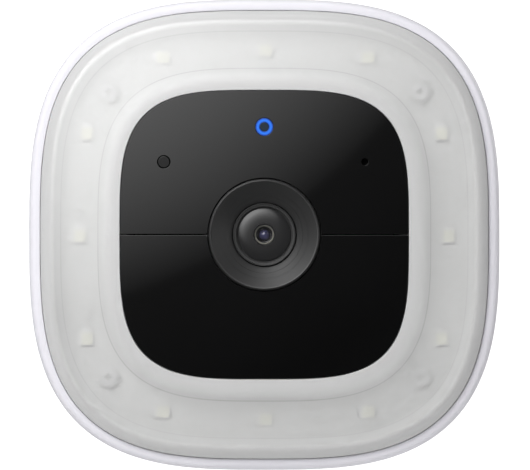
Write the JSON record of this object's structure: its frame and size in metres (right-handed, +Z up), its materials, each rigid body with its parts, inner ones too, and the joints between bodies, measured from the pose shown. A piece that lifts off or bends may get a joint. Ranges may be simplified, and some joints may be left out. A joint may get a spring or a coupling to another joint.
{
  "type": "floodlight security camera",
  "caption": "Rounded-square wall camera with a black glass face, a lens in its middle and a frosted ring light, on a ball-joint bracket.",
  "frame": {"origin": "centre of the wall plate's back face", "axes": "+Z up, the wall is the plane y = 0 and the camera looks along -Y, so +X is on the right of someone facing the camera"},
  "size_m": [0.104, 0.0944, 0.104],
  "materials": {
    "white_shell": "fine satin white, faintly cool",
    "diffuser": "frosted translucent cover, smooth outside",
    "reflector": "matt white",
    "face_gloss": "mirror-gloss black",
    "bezel_satin": "satin black with fine turning marks",
    "lens_black": "satin black",
    "glass": "coated optical glass",
    "status_blue": "light guide glowing blue",
    "board_white": "white solder resist with pale yellow light chips",
    "board_green": "green solder resist",
    "chip_black": "moulded black package",
    "aluminium": "rolled sheet",
    "steel": "zinc plated",
    "brass": "turned",
    "cell_wrap": null,
    "silicone": "soft light grey silicone",
    "rubber": "matt black",
    "black_plastic": "moulded black"
  },
  "bodies": {
    "bracket": {"wall_plate": "white_shell", "ball_socket": "white_shell", "post_screw_left": "steel", "post_screw_right": "steel"},
    "collar": {"lock_collar": "white_shell"},
    "pad": {"friction_pad": "rubber"},
    "stud": {"ball_stud": "steel", "stud_washer": "rubber"},
    "head": {"rear_shell": "white_shell", "shell_gasket": "rubber", "thread_insert": "brass", "front_chassis": "reflector", "light_diffuser": "diffuser", "inner_reflector": "reflector", "outer_reflector": "reflector", "led_board": "board_white", "heat_spreader": "aluminium", "chassis_screw_1": "steel", "chassis_screw_2": "steel", "chassis_screw_3": "steel", "chassis_screw_4": "steel", "upper_face_panel": "face_gloss", "lower_face_panel": "face_gloss", "lens_bezel": "bezel_satin", "lens_ring": "lens_black", "lens_dome": "glass", "lens_barrel": "lens_black", "inner_lens": "glass", "lens_holder": "black_plastic", "filter_carrier": "glass", "filter_coil": "chip_black", "image_sensor": "chip_black", "sensor_board": "board_green", "sensor_ribbon": "brass", "front_board": "board_green", "status_light_guide": "status_blue", "light_sensor_window": "face_gloss", "mic_boot": "rubber", "microphone": "chip_black", "pir_sensor": "steel", "ir_emitter_left": "glass", "ir_emitter_right": "glass", "main_board": "board_green", "processor_shield": "steel", "wifi_antenna": "board_green", "battery_cradle": "black_plastic", "battery_cell_1": "cell_wrap", "battery_cell_2": "cell_wrap", "battery_cell_3": "cell_wrap", "battery_cell_4": "cell_wrap", "busbar_top": "steel", "busbar_bottom": "steel", "battery_lead": "rubber", "speaker": "black_plastic", "speaker_mesh": "rubber", "charge_board": "board_green", "usb_socket": "steel", "button_switch": "chip_black"},
    "button": {"sync_button": "silicone"},
    "flap": {"port_flap": "silicone"}
  },
  "joints": [
    {"name": "lock_collar_turn", "type": "hinge", "parent": "bracket", "child": "collar", "pos_m": [0, -0.0185, 0], "axis": [0, 1, 0], "range_deg": [0, 270]},
    {"name": "ball_swing", "type": "hinge", "parent": "bracket", "child": "pad", "pos_m": [0, -0.0185, 0], "axis": [0, 1, 0], "range_deg": [-180, 180]},
    {"name": "ball_tilt", "type": "hinge", "parent": "pad", "child": "stud", "pos_m": [0, -0.0185, 0], "axis": [1, 0, 0], "range_deg": [-35, 35]},
    {"name": "head_roll", "type": "hinge", "parent": "stud", "child": "head", "pos_m": [0, -0.0365, 0], "axis": [0, 1, 0], "range_deg": [-180, 180]},
    {"name": "sync_button_press", "type": "slide", "parent": "head", "child": "button", "axis": [0, 0, 1], "range_m": [0, 0.0008], "stiffness_N_per_m": 400, "springref_m": -0.001},
    {"name": "port_flap_hinge", "type": "hinge", "parent": "head", "child": "flap", "pos_m": [0, -0.05835, -0.05171], "axis": [-1, 0, 0], "range_deg": [0, 120]}
  ]
}
